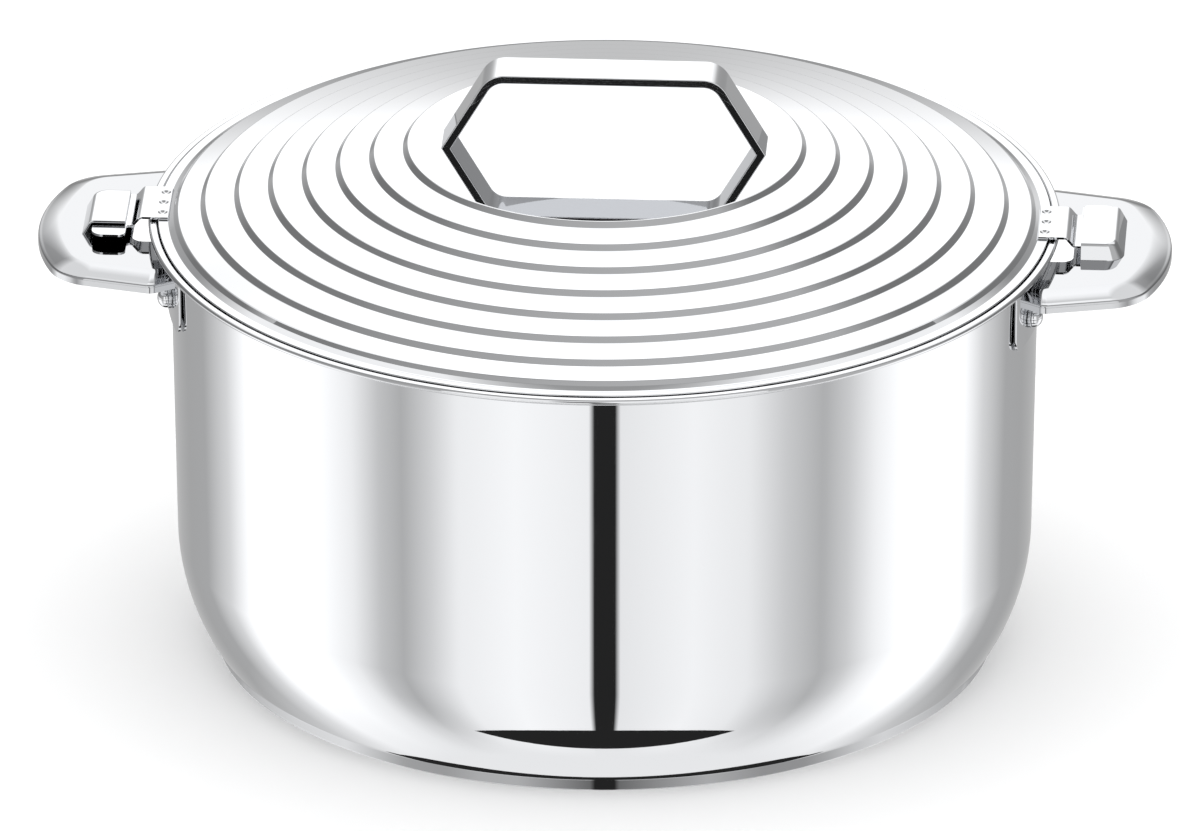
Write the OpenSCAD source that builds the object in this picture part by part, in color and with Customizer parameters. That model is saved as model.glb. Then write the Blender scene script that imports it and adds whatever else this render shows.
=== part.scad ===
// Insulated chapati casserole: a double-walled steel pot with foam between its walls, and a
// stepped double-walled lid. The lid has one strap clip on each side. Each clip ends in a flat
// tongue that turns in under a hood on the pot's handle, so the lid locks with a short turn.
// Millimetres, +Z up, origin at the centre of the foot on the table, handles along X.

/* [Pot] */
// Outer radius of the wall just under the rim
wall_r = 145.6; // [140:0.2:146]
// Outer radius of the wall where the lower curve starts
wall_low_r = 143.7; // [139:0.1:145]
// Height at which the lower curve starts
curve_z = 42; // [30:1:50]
// Radius of the lower curve
curve_r = 70; // [60:1:90]
// Height of the ring that the pot stands on
foot_h = 4.3; // [4.2:0.1:6]
// Outer radius of the foot ring
foot_r = 131; // [128:0.5:131.5]
// Thickness of the pressed sheet
sheet = 0.7; // [0.5:0.1:0.8]
// Inner radius of the bowl
bowl_r = 132; // [128:0.5:134]
// Height of the bowl's floor
bowl_floor_z = 14.5; // [12:0.5:30]
// Top of the ledge that the lid rests on
ledge_z = 150; // [149.8:0.1:150.2]
// Outer radius of the rolled rim
rim_r = 152.8; // [152:0.1:154]

/* [Lid] */
// Height of the lid's flat centre
platform_z = 178; // [170:1:190]
// Radius of the lid's flat centre
platform_r = 66; // [60:1:70]
// Number of steps down to the lid's edge
steps = 8; // [4:1:8]
// Radial distance from one step to the next
step_pitch = 11.3; // [9:0.1:11.4]
// Radius of the last step, next to the edge
last_step_r = 143; // [142:0.2:143.4]
// Height lost from one step to the next
step_drop = 3.35; // [2.5:0.05:3.4]
// Radius of the lid's edge
lid_r = 149.3; // [148.8:0.1:149.4]
// Depth of the lid's plug below the ledge
plug_depth = 22; // [12:1:30]

/* [Lid handle] */
// Width of the strip that the lid handle is bent from
grip_w = 16.4; // [12:0.2:20]
// Thickness of that strip
grip_t = 2.8; // [2:0.1:4]
// Distance between the outsides of the handle's feet
grip_span = 108.6; // [90:1:120]
// Length of the top bar between its sharp outer corners
grip_top = 76.8; // [60:1:90]
// Height of the handle above the lid's flat centre
grip_h = 26.8; // [22:0.5:35]
// Outer radius of the two bends
grip_bend = 9; // [6:0.5:12]

/* [Side handles] */
// Distance from the pot's axis to the end of a handle
reach = 190.1; // [185:0.1:200]
// Half width of a handle at the middle of its corner curves
plate_half = 44.1; // [42:0.1:48]
// Radius of a handle's end corners
plate_corner = 18.5; // [14:0.5:28]
// Radius of the bow of a handle's end, between those corners
end_bow = 86; // [70:1:300]
// Angle by which each side of a handle narrows outwards
plate_taper = 13.9; // [5:0.1:20]
// Height of the handle's flat top
plate_z = 146; // [145:0.1:146.2]
// Run of the handle's gently falling edge
edge_run = 8.5; // [6:0.1:9]
// Drop of that edge, down to the small round above the lip
edge_drop = 2.75; // [1.5:0.05:3.4]
// Drop of the whole edge, down to the bottom of its upright lip
lip_drop = 5.5; // [4.6:0.1:6]
// Thickness of the handle's sheet
plate_t = 1; // [0.8:0.1:1.2]

/* [Lock] */
// Width of the strap over the rim
strap_w = 26; // [20:0.5:26]
// Thickness of the clip's sheet
clip_t = 0.8; // [0.6:0.1:0.9]
// Distance from the axis to the tongue's outer edge
tongue_out = 170.9; // [168:0.1:171]
// How far the tongue's trailing edge is from the middle of the strap
tongue_tail = 21.4; // [16:0.2:24]
// How far the tongue's leading edge is from the middle of the strap
tongue_lead = 13; // [10:0.2:13.4]
// Distance from the axis to the hood's open pot side
hood_in = 160; // [159:0.2:162]
// Distance from the axis to the outer edge of the hood's flat top
hood_out = 171.8; // [171.8:0.2:174]
// Height of the hood's top
hood_z = 151.1; // [150.9:0.1:151.6]
// How far the left hood's mouth is from the middle of the handle
mouth_left = 13; // [10:0.5:20]
// How far the right hood's mouth is from the middle of the handle
mouth_right = 17.5; // [10:0.5:20]

/* [Hidden] */

steel = "#cfd2d6";
foam_colour = "#e8d9a8";
plug_colour = "#2b2c30";
round_fn = 160;
part_fn = 64;

touch = 0.02;          // gap between faces that rest on each other
running = 0.3;         // gap between the lid's pan and what turns above it

// One arc of points, from angle a0 to a1, both ends included
function arc(cx, cy, r, a0, a1, n) =
    [for (i = [0:n]) let (a = a0 + (a1 - a0) * i / n) [cx + r * cos(a), cy + r * sin(a)]];

// A path moved sideways to its left by d, with mitred corners
function unit(v) = v / norm(v);
function left_of(v) = [-v[1], v[0]];
function miter(a, b) = let (s = a + b) s * 2 / (s * s);
function beside(p, d) = let (n = len(p))
    [for (i = [0:n - 1])
        let (before = i == 0 ? left_of(unit(p[1] - p[0])) : left_of(unit(p[i] - p[i - 1])),
             after = i == n - 1 ? before : left_of(unit(p[i + 1] - p[i])))
        p[i] + d * miter(before, after)];

function backwards(p) = [for (i = [len(p) - 1:-1:0]) p[i]];

// The point where a path first crosses height z
function crossing(p, z) = [for (i = [0:len(p) - 2])
    if ((p[i][1] - z) * (p[i + 1][1] - z) < 0)
        p[i] + (p[i + 1] - p[i]) * (z - p[i][1]) / (p[i + 1][1] - p[i][1])][0];

// The closed outline of a sheet that lies to the left of a path
function sheet_outline(p, t) = concat(p, backwards(beside(p, t)));

// A path with every radius held at or above zero
function above_axis(p) = [for (q = p) [max(q[0], 0), q[1]]];

module turned(points) {
    rotate_extrude($fn = round_fn) polygon(above_axis(points));
}

// ---- pot ----

curve_end = asin((curve_z - foot_h) / curve_r);
shell_low_r = wall_low_r - curve_r * (1 - cos(curve_end));
hem_z = ledge_z - 2 * sheet - touch;   // underside of the shell's turned-out flange
flange_fillet = 1.6;
hem_in = 3.4;                          // how far the flange stops short of the rim's edge
ring_t = 1.6;                          // thickness of the folded foot ring
lip_in_r = foot_r - ring_t;
wall_top_z = hem_z - flange_fillet;

// Outer face of the shell, from its bottom lip up to the flange below the rim
shell_path = concat(
    [[lip_in_r, foot_h + touch], [shell_low_r - 0.3, foot_h + touch]],
    arc(wall_low_r - curve_r, curve_z, curve_r, -curve_end + 0.5, 0, 12),
    [[wall_r, wall_top_z]],
    arc(wall_r + flange_fillet, wall_top_z, flange_fillet, 165, 90, 5),
    [[rim_r - hem_in, hem_z]]
);

rivet_angle = 11.6;                    // from the X axis to each rivet
rivet_z = 131;
rivet_r = 2;
rivet_hole_r = rivet_r + 0.05;
tail_r = 3.2;

// Copies something that faces +X to the two rivets of one side
module at_rivets(side) {
    for (s = [-1, 1])
        rotate([0, 0, (side > 0 ? 0 : 180) + s * rivet_angle])
            translate([0, 0, rivet_z]) children();
}

module rivet_holes(side, r) {
    at_rivets(side)
        translate([wall_r - 12, 0, 0]) rotate([0, 90, 0]) cylinder(r = r, h = 20, $fn = part_fn);
}

module outer_shell() {
    color(steel) difference() {
        turned(sheet_outline(shell_path, sheet));
        rivet_holes(1, rivet_hole_r);
        rivet_holes(-1, rivet_hole_r);
    }
}

bowl_corner = 16;
bowl_flare = 0.3;                      // how much wider the bowl is at the top
ledge_fillet = 1.8;
rim_bead_r = 1.05;
rim_bead_z = ledge_z + 0.45;
rim_in_r = rim_r - 2 * rim_bead_r;

// Inner face of the bowl, from the rim's ledge down to the centre of the floor
bowl_path = concat(
    [[rim_in_r, ledge_z]],
    arc(bowl_r + ledge_fillet + bowl_flare, ledge_z - ledge_fillet, ledge_fillet, 90, 178, 5),
    arc(bowl_r - bowl_corner, bowl_floor_z + bowl_corner, bowl_corner, 0, -90, 8),
    [[0, bowl_floor_z]]
);

module inner_bowl() {
    color(steel) {
        turned(sheet_outline(bowl_path, sheet));
        // the rolled rim, a little flattened
        rotate_extrude($fn = round_fn) translate([0, rim_bead_z]) {
            translate([rim_r - rim_bead_r, 0]) circle(r = rim_bead_r, $fn = 32);
            translate([rim_in_r, 0]) circle(r = rim_bead_r, $fn = 32);
            translate([rim_in_r, -rim_bead_r]) square([rim_bead_r, 2 * rim_bead_r]);
        }
    }
}

base_z = 3;                            // underside of the base plate
base_rise = 1;                         // how much higher its middle is
plug_hole_r = 8;
tail_depth = 5;                        // how far a rivet's tail reaches into the foam
tail_room_r = 4;
foam_low_z = base_z + base_rise + sheet + 0.6;
foam_top_z = ledge_z - 5;

// Faces of the foam: inside the shell and outside the bowl
shell_inside = beside(shell_path, sheet + touch);
bowl_outside = beside(bowl_path, sheet + touch);

module body_foam() {
    color(foam_colour) difference() {
        turned(concat(
            [[0, foam_low_z], [lip_in_r - 0.3, foam_low_z]],
            [[lip_in_r - 0.3, shell_inside[0][1]]],
            [for (q = shell_inside) if (q[1] < foam_top_z) q],
            [crossing(shell_inside, foam_top_z), crossing(bowl_outside, foam_top_z)],
            [for (q = bowl_outside) if (q[1] < foam_top_z) q]
        ));
        rivet_pockets(1);
        rivet_pockets(-1);
        // room above the fill plug
        translate([0, 0, base_z]) cylinder(r = plug_hole_r + 1.2, h = 6, $fn = part_fn);
    }
}

// Room in the foam for the rivets' tails
module rivet_pockets(side) {
    at_rivets(side)
        translate([wall_r - tail_depth - 2, 0, 0]) rotate([0, 90, 0])
            cylinder(r = tail_room_r, h = 20, $fn = part_fn);
}

base_step_r = 104;                     // radius inside which the plate is raised
base_step_run = 3;

module base_plate() {
    color(steel) difference() {
        rotate_extrude($fn = round_fn) {
            // the foot ring, folded double, with a rounded edge on the table
            polygon([[lip_in_r + 0.3, 0], [foot_r - 0.3, 0], [foot_r, 0.3], [foot_r, foot_h],
                     [lip_in_r, foot_h], [lip_in_r, 0.3]]);
            // the plate, raised by a step inside the ring
            polygon(sheet_outline([
                [0, base_z + base_rise], [base_step_r, base_z + base_rise],
                [base_step_r + base_step_run, base_z], [lip_in_r + 0.1, base_z]], sheet));
        }
        translate([0, 0, base_z]) cylinder(r = plug_hole_r, h = 4, $fn = part_fn);
    }
}

// Head below, shank up through the sheet, and a snap bead above it
module fill_plug(r, brim, head_t, depth) {
    snap_h = 2;
    soft = 0.6;
    rotate_extrude($fn = part_fn)
        polygon([[0, -head_t], [r + brim - soft, -head_t], [r + brim, soft - head_t], [r + brim, 0],
                 [r, 0], [r, depth], [r + 0.4, depth + soft], [r - soft, depth + snap_h],
                 [0, depth + snap_h]]);
}

module base_fill_plug() {
    color(plug_colour)
        translate([0, 0, base_z + base_rise - touch])
            fill_plug(plug_hole_r - 0.1, 3, 1.4, sheet + 2 * touch);
}

// ---- side handles ----

bow_x = reach - end_bow;               // centre of the end's bow
corner_y = plate_half - plate_corner;
bow_angle = asin(corner_y / (end_bow - plate_corner));
corner_x = bow_x + (end_bow - plate_corner) * cos(bow_angle);
root_x = 150;                          // where a handle's side turns in to the pot
root_r = wall_r + 2.2;                 // inner edge of the plate, round the pot
bracket_half = 44;                     // half width of the ear below the handle
notch_half = 18;
notch_out = 157.6;
notch_round = 4;

// Half outline of a handle seen from above, drawn in by d; then its mirror image follows
function side_point(x, d) =
    let (tx = corner_x + (plate_corner - d) * sin(plate_taper),
         ty = corner_y + (plate_corner - d) * cos(plate_taper))
    [x, ty + (tx - x) * tan(plate_taper)];
function half_plate(d) = concat(
    [[root_r * cos(asin(bracket_half / root_r)), bracket_half - d * 0.2]],
    [[root_x - 3.5, side_point(root_x, d)[1] - 1.4 + d * 0.1]],
    [side_point(root_x + 0.5, d)],
    arc(corner_x, corner_y, plate_corner - d, 90 - plate_taper, bow_angle, 8),
    arc(bow_x, 0, end_bow - d, 0.7 * bow_angle, 0.1 * bow_angle, 2)
);
function mirrored(p) = [for (q = p) [q[0], -q[1]]];

// One level of the handle's loft, anticlockwise from above
function level(d, z) =
    [for (q = concat(mirrored(half_plate(d)), backwards(half_plate(d)))) [q[0], q[1], z]];

// Closed loft through levels that all have the same number of points
module loft(levels) {
    n = len(levels[0]);
    m = len(levels);
    polyhedron(
        points = [for (l = levels) each l],
        faces = concat(
            [[for (i = [0:n - 1]) i]],
            [for (k = [0:m - 2], i = [0:n - 1]) each [
                [k * n + i, (k + 1) * n + i, (k + 1) * n + (i + 1) % n],
                [k * n + i, (k + 1) * n + (i + 1) % n, k * n + (i + 1) % n]]],
            [[for (i = [n - 1:-1:0]) (m - 1) * n + i]]
        )
    );
}

// The handle's edge from below, as how far in from the edge and how far below the flat top: an
// upright lip, a small round, and a rise that grows gentler up to the flat
edge_round = 1;
edge_levels = concat(
    [[0, lip_drop], [0, edge_drop + edge_round]],
    [for (f = [0, 0.3, 0.65, 1])
        [edge_round + f * (edge_run - edge_round), edge_drop * pow(1 - f, 1.5)]]
);

module handle_plate(side) {
    rotate([0, 0, side > 0 ? 0 : 180]) difference() {
        loft([for (e = edge_levels) level(e[0], plate_z - e[1])]);
        // the hollow under the sheet
        translate([0, 0, -plate_t])
            loft(concat([level(plate_t, plate_z - lip_drop - 3)],
                        [for (e = edge_levels) level(e[0] + plate_t, plate_z - e[1])]));
        // the edge next to the pot, and the notch that the clip passes
        translate([0, 0, plate_z - 10]) cylinder(r = root_r, h = 20, $fn = round_fn);
        translate([notch_out - 20, -notch_half, plate_z - 10])
            cube([20 - notch_round, 2 * notch_half, 20]);
        translate([notch_out - 20, -notch_half + notch_round, plate_z - 10])
            cube([20, 2 * (notch_half - notch_round), 20]);
        for (s = [-1, 1])
            translate([notch_out - notch_round, s * (notch_half - notch_round), plate_z - 10])
                cylinder(r = notch_round, h = 20, $fn = part_fn);
    }
}

module handle_plate_left() { color(steel) handle_plate(-1); }
module handle_plate_right() { color(steel) handle_plate(1); }

bracket_top = plate_z - plate_t - touch;
bracket_low = 122.7;
bracket_t = 0.9;
bracket_corner = 5;
shelf_in = 21;                         // the shelf's sides, from the middle of the handle
shelf_side = 35.5;
shelf_out = 157;                       // outer edge of the bracket's shelf under the plate
wall_slope = (wall_r - wall_low_r) / (wall_top_z - curve_z);
function wall_at(z) = wall_r - wall_slope * (wall_top_z - z);

module bracket(side) {
    inner = wall_at(bracket_low) + 0.6;
    rotate([0, 0, side > 0 ? 0 : 180]) difference() {
        union() {
            // the ear that stands against the wall, with rounded lower corners
            intersection() {
                rotate_extrude($fn = round_fn)
                    polygon([[inner, bracket_low], [inner + bracket_t, bracket_low],
                             [wall_at(bracket_top) + 0.3 + bracket_t, bracket_top],
                             [wall_at(bracket_top) + 0.3, bracket_top]]);
                union() {
                    translate([100, -bracket_half, bracket_low + bracket_corner])
                        cube([80, 2 * bracket_half, bracket_top - bracket_low]);
                    translate([100, -bracket_half + bracket_corner, bracket_low - 1])
                        cube([80, 2 * (bracket_half - bracket_corner), 10]);
                    for (s = [-1, 1])
                        translate([100, s * (bracket_half - bracket_corner),
                                   bracket_low + bracket_corner])
                            rotate([0, 90, 0])
                                cylinder(r = bracket_corner, h = 80, $fn = part_fn);
                }
            }
            // two shelves under the plate, one on each side of the notch
            for (s = [-1, 1])
                translate([0, 0, bracket_top - bracket_t]) intersection() {
                    difference() {
                        cylinder(r = shelf_out, h = bracket_t, $fn = round_fn);
                        translate([0, 0, -1])
                            cylinder(r = wall_at(bracket_top) + 0.5, h = 4, $fn = round_fn);
                    }
                    translate([100, s > 0 ? shelf_in : -shelf_side, -1])
                        cube([80, shelf_side - shelf_in, 4]);
                }
        }
        rivet_holes(1, rivet_hole_r);
    }
}

module handle_bracket_left() { color(steel) bracket(-1); }
module handle_bracket_right() { color(steel) bracket(1); }

rivet_seat = wall_at(rivet_z) + 0.5 + bracket_t;
washer_t = 1.2;
head_r = 3.5;
dome_h = 2.9;                          // height of the rivet's domed head

// Rivet along +X: tail inside the shell, shank, and a domed head outside
module rivet() {
    tail_z = wall_at(rivet_z) - tail_depth;
    inside_z = wall_at(rivet_z) - sheet - 0.1;
    head_z = rivet_seat + washer_t + 0.1;
    rotate([0, 90, 0]) rotate_extrude($fn = part_fn)
        polygon(concat(
            [[0, tail_z + 0.6], [tail_r - 0.2, tail_z + 1.2], [tail_r, inside_z],
             [rivet_r, inside_z], [rivet_r, head_z], [head_r, head_z]],
            [for (a = [0:10:90]) [head_r * cos(a), head_z + 0.3 + dome_h * sin(a)]]
        ));
}

module handle_rivets_left() { color(steel) at_rivets(-1) rivet(); }
module handle_rivets_right() { color(steel) at_rivets(1) rivet(); }

module washer() {
    translate([rivet_seat + 0.15, 0, 0]) rotate([0, 90, 0]) difference() {
        cylinder(r = head_r + 0.3, h = washer_t - 0.1, $fn = part_fn);
        translate([0, 0, -1]) cylinder(r = rivet_hole_r, h = 4, $fn = part_fn);
    }
}

module rivet_washers_left() { color(steel) at_rivets(-1) washer(); }
module rivet_washers_right() { color(steel) at_rivets(1) washer(); }

// ---- lock hoods ----

hood_t = 0.9;
hood_wall_run = 2.8;                   // how far each sloped wall of the hood leans out
hood_end = 13.6;                       // half length of the flat top towards the closed end

// Block with sloped outer and closed end walls. It is smaller by d inside those walls, and
// reaches past the open sides and the bottom by past.
module hood_block(mouth, d, past) {
    z0 = plate_z + touch - past;
    z1 = hood_z - d;
    lean = hood_wall_run * (z1 - z0) / (hood_z - plate_z);
    hull() for (slice = [[z0, lean], [z1 - 0.01, 0]])
        translate([hood_in - past, -mouth - past, slice[0]])
            cube([hood_out + slice[1] - d - hood_in + past,
                  mouth + hood_end + slice[1] - d + past, 0.01]);
}

module lock_hood(side, mouth) {
    rotate([0, 0, side > 0 ? 0 : 180]) mirror([0, 1, 0]) difference() {
        hood_block(mouth, 0, 0);
        hood_block(mouth, hood_t, 2);
    }
}

module lock_hood_left() { color(steel) lock_hood(-1, mouth_left); }
module lock_hood_right() { color(steel) lock_hood(1, mouth_right); }

// ---- lid ----

riser_run = 1.9;
riser_drop = 1.9;
function step_r(i) = i == steps ? last_step_r : platform_r + step_pitch * (i - 1);
function step_z(i) = platform_z - step_drop * (i - 1) - (i == steps ? 0.3 : 0);
flange_z = ledge_z + 1.95;             // top of the lid's flat edge

// Outer face of the lid from its edge in to its centre
skin_path = concat(
    [[lid_r, flange_z], [last_step_r + 2.3, flange_z]],
    [for (i = [steps:-1:1]) each (i == steps
        ? [[step_r(i), step_z(i)]]
        : [[step_r(i) + riser_run, step_z(i) - riser_drop], [step_r(i), step_z(i)]])],
    [[0, platform_z]]
);

tab_w = 9;                             // tabs at the handle's feet, through the lid
tab_t = 2;
tab_depth = 4;
tab_room = 0.1;
backing = [17, 23, 1.5];               // the plates that the tabs are bent over inside the lid
foot_x = grip_span / 2 - 1.75;         // middle of each handle foot

module at_feet() {
    for (s = [0, 180]) rotate([0, 0, s]) translate([foot_x, 0, platform_z]) children();
}

module lid_skin() {
    color(steel) difference() {
        turned(sheet_outline(skin_path, sheet));
        at_feet() cube([tab_t + tab_room, tab_w + tab_room, 6], center = true);
    }
}

pan_r = bowl_r - 1.7;
pan_floor_z = ledge_z - plug_depth;
pan_flange_z = ledge_z + 0.3;          // underside of the pan's flange, over the ledge
pan_corner = 8;
pan_fillet = 1.6;

// Lower face of the pan, from its flange in to its centre
pan_path = concat(
    [[last_step_r + 4, pan_flange_z]],
    arc(pan_r + pan_fillet, pan_flange_z - pan_fillet, pan_fillet, 90, 178, 5),
    arc(pan_r - pan_corner - 0.3, pan_floor_z + pan_corner, pan_corner, 0, -90, 6),
    [[0, pan_floor_z]]
);

lid_plug_hole_r = 6;

module lid_pan() {
    color(steel) difference() {
        turned(sheet_outline(pan_path, -sheet));
        translate([0, 0, pan_floor_z - 2]) cylinder(r = lid_plug_hole_r, h = 6, $fn = part_fn);
    }
}

module lid_fill_plug() {
    color(plug_colour)
        translate([0, 0, pan_floor_z - touch])
            fill_plug(lid_plug_hole_r - 0.1, 2.5, 1.2, sheet + 2 * touch);
}

lid_foam_top = [for (q = beside(skin_path, sheet + touch)) if (q[0] < last_step_r + 1) q];
lid_foam_low = [for (q = beside(pan_path, -sheet - running)) if (q[1] < pan_flange_z - 1) q];
lid_foam_edge_z = pan_flange_z + sheet + running;

module lid_foam() {
    color(foam_colour) difference() {
        turned(concat(
            backwards(lid_foam_low),
            [[lid_foam_low[0][0], lid_foam_edge_z], [last_step_r + 0.4, lid_foam_edge_z]],
            lid_foam_top
        ));
        // pockets for the backing plates and the ends of the handle's tabs
        at_feet() translate([0, 0, -3]) cube([backing[0] + 2, backing[1] + 2, 7], center = true);
        // room above the fill plug
        translate([0, 0, pan_floor_z - 1]) cylinder(r = lid_plug_hole_r + 1, h = 7, $fn = part_fn);
    }
}

// Outer corner points of the strip, seen from the front, then rounded
grip_slope = atan2(grip_h, (grip_span - grip_top) / 2);
bend_x = grip_top / 2 - grip_bend * tan(grip_slope / 2);
grip_path = concat(
    [[grip_span / 2, 0]],
    arc(bend_x, grip_h - grip_bend, grip_bend, 90 - grip_slope, 90, 8),
    arc(-bend_x, grip_h - grip_bend, grip_bend, 90, 90 + grip_slope, 8),
    [[-grip_span / 2, 0]]
);

module lid_handle() {
    color(steel) {
        translate([0, grip_w / 2, platform_z + touch]) rotate([90, 0, 0]) difference() {
            linear_extrude(grip_w) polygon(sheet_outline(
                concat([grip_path[0] + [4 / tan(grip_slope), -4]],
                       [for (i = [1:len(grip_path) - 2]) grip_path[i]],
                       [grip_path[len(grip_path) - 1] - [4 / tan(grip_slope), 4]]), grip_t));
            // the feet are cut level with the lid
            translate([-100, -20, -1]) cube([200, 20, grip_w + 2]);
        }
        at_feet() translate([0, 0, -tab_depth / 2 + 0.2])
            cube([tab_t, tab_w, tab_depth + 0.4], center = true);
    }
}

module handle_backing_plates() {
    color(steel) at_feet() translate([0, 0, -sheet - touch - backing[2] / 2]) difference() {
        cube(backing, center = true);
        cube([tab_t + tab_room, tab_w + tab_room, 4], center = true);
    }
}

// ---- lid clips ----

strap_in = last_step_r + 2.8;          // inner end of the strap on the lid's edge
strap_z = flange_z + touch;            // underside of the strap
strap_out = 155.2;                     // where the strap starts down past the rim
tongue_z = 148.9;                      // underside of the tongue
neck_x = 157.6;                        // where the strap has come down to the tongue
tongue_round = 4;                      // corner radius of its trailing end
lead_round = 3;                        // and of its leading end
dimple_ring = 148;                     // distance from the axis to the row of weld dimples
dimple_pitch = 8.4;
dimple_r = 4.4;                        // radius of the ball that presses each dimple
dimple_depth = 0.3;

module clip(side) {
    rotate([0, 0, side > 0 ? 0 : 180]) difference() {
        union() {
            // strap over the rim, S-bend and neck, seen from the front
            translate([0, strap_w / 2, 0]) rotate([90, 0, 0]) linear_extrude(strap_w)
                polygon(sheet_outline(concat(
                    [[strap_in, strap_z]],
                    arc(strap_out - 1.2, strap_z - 1.2, 1.2, 90, 25, 4),
                    arc(neck_x, tongue_z + 1, 1, 205, 270, 4),
                    [[neck_x + 3, tongue_z]]
                ), clip_t));
            // the tongue, with rounded corners
            translate([0, 0, tongue_z]) linear_extrude(clip_t) tongue_outline();
        }
        // weld dimples in a row along the lid's edge
        for (i = [-1:1])
            rotate([0, 0, i * dimple_pitch / dimple_ring * 180 / PI])
                translate([dimple_ring, 0, strap_z + clip_t - dimple_depth + dimple_r])
                    sphere(r = dimple_r, $fn = 48);
    }
}

// Tongue seen from above, for the right side: it leads towards -Y and trails towards +Y
module tongue_outline() {
    polygon(concat(
        [[neck_x + 2, -tongue_lead]],
        arc(tongue_out - lead_round, lead_round - tongue_lead, lead_round, -90, 0, 5),
        arc(tongue_out - tongue_round, tongue_tail - tongue_round, tongue_round, 0, 90, 6),
        arc(neck_x + 2 + tongue_round * 0.6, tongue_tail - tongue_round * 0.6,
            tongue_round * 0.6, 90, 180, 4)
    ));
}

module lid_clip_left() { color(steel) clip(-1); }
module lid_clip_right() { color(steel) clip(1); }

outer_shell();
inner_bowl();
body_foam();
base_plate();
base_fill_plug();
handle_plate_left();
handle_plate_right();
handle_bracket_left();
handle_bracket_right();
lock_hood_left();
lock_hood_right();
handle_rivets_left();
handle_rivets_right();
rivet_washers_left();
rivet_washers_right();
lid_pan();
lid_fill_plug();
lid_skin();
lid_foam();
lid_handle();
handle_backing_plates();
lid_clip_left();
lid_clip_right();
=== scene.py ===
import math
import bpy
import bmesh
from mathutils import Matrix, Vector


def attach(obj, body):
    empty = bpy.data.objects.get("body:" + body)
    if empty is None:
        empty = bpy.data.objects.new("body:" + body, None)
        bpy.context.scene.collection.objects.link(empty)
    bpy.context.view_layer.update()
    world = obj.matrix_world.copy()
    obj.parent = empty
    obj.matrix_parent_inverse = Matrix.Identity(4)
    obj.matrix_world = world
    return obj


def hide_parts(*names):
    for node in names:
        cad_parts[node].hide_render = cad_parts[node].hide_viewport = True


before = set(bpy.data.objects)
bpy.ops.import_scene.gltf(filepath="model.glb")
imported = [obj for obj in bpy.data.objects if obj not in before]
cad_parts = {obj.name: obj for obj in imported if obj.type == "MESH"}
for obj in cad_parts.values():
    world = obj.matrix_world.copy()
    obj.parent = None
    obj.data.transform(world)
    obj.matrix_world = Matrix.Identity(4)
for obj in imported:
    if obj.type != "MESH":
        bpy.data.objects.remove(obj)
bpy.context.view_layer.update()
print("frame loaded:", len(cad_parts), "nodes")

mm = 0.001
roundSegments = 256  # facets round the pot, fine enough for mirror reflections
onAxis = 1e-6  # mm: nearer to the axis than this, a turned outline closes in one point
sides = ((-1, "left"), (1, "right"))


# outlines are lists of (across, up) points in millimetres
def arcPoints(centre, radius, start, end, count):
    step = (end - start) / count
    return [(centre[0] + radius * math.cos(math.radians(start + step * i)),
             centre[1] + radius * math.sin(math.radians(start + step * i))) for i in range(count + 1)]


def fillet(start, corner, end, radius, count=None, degreesPerStep=None):
    # the arc that rounds the corner between two straight runs, in count steps or by degrees
    here = Vector(corner)
    before, after = (Vector(start) - here).normalized(), (Vector(end) - here).normalized()
    turn = math.pi - before.angle(after)
    middle = here + (before + after).normalized() * (radius / math.cos(turn / 2))
    first = here + before * (radius * math.tan(turn / 2)) - middle
    side = 1 if before.x * after.y - before.y * after.x < 0 else -1
    count = count or max(3, round(math.degrees(turn) / degreesPerStep))
    points = []
    for k in range(count + 1):
        angle = side * turn * k / count
        points.append((middle.x + first.x * math.cos(angle) - first.y * math.sin(angle),
                       middle.y + first.x * math.sin(angle) + first.y * math.cos(angle)))
    return points


def roundPath(corners, degreesPerStep):
    # corners are (across, up) or (across, up, radius)
    points = []
    for i, corner in enumerate(corners):
        if len(corner) < 3:
            points.append(corner)
        else:
            points += fillet(corners[i - 1][:2], corner[:2], corners[i + 1][:2], corner[2],
                             degreesPerStep=degreesPerStep)
    return points


def leftNormals(path):
    normals = []
    for i in range(len(path)):
        here = Vector(path[i])
        parts = []
        if i > 0:
            parts.append((here - Vector(path[i - 1])).normalized())
        if i < len(path) - 1:
            parts.append((Vector(path[i + 1]) - here).normalized())
        sides = [Vector((-p.y, p.x)) for p in parts]
        total = sum(sides, Vector((0, 0)))
        normals.append(total * (len(sides) / total.length_squared))
    return normals


def sheetOutline(path, thickness):
    # closed outline of a sheet on the left of the path, with rounded ends
    far = [(p[0] + n.x * thickness, p[1] + n.y * thickness) for p, n in zip(path, leftNormals(path))]
    bulge = 0.8  # of a half circle

    def cap(a, b, outward):
        middle = ((a[0] + b[0]) / 2, (a[1] + b[1]) / 2)
        half = Vector((a[0] - middle[0], a[1] - middle[1]))
        out = Vector(outward).normalized() * half.length * bulge
        return [(middle[0] + half.x * math.cos(t) + out.x * math.sin(t),
                 middle[1] + half.y * math.cos(t) + out.y * math.sin(t))
                for t in (math.pi / 4, math.pi / 2, 3 * math.pi / 4)]

    points = list(path)
    if path[-1][0] > onAxis:
        points += cap(path[-1], far[-1], Vector(path[-1]) - Vector(path[-2]))
    points += far[::-1]
    if path[0][0] > onAxis:
        points += cap(far[0], path[0], Vector(path[0]) - Vector(path[1]))
    return points


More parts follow.
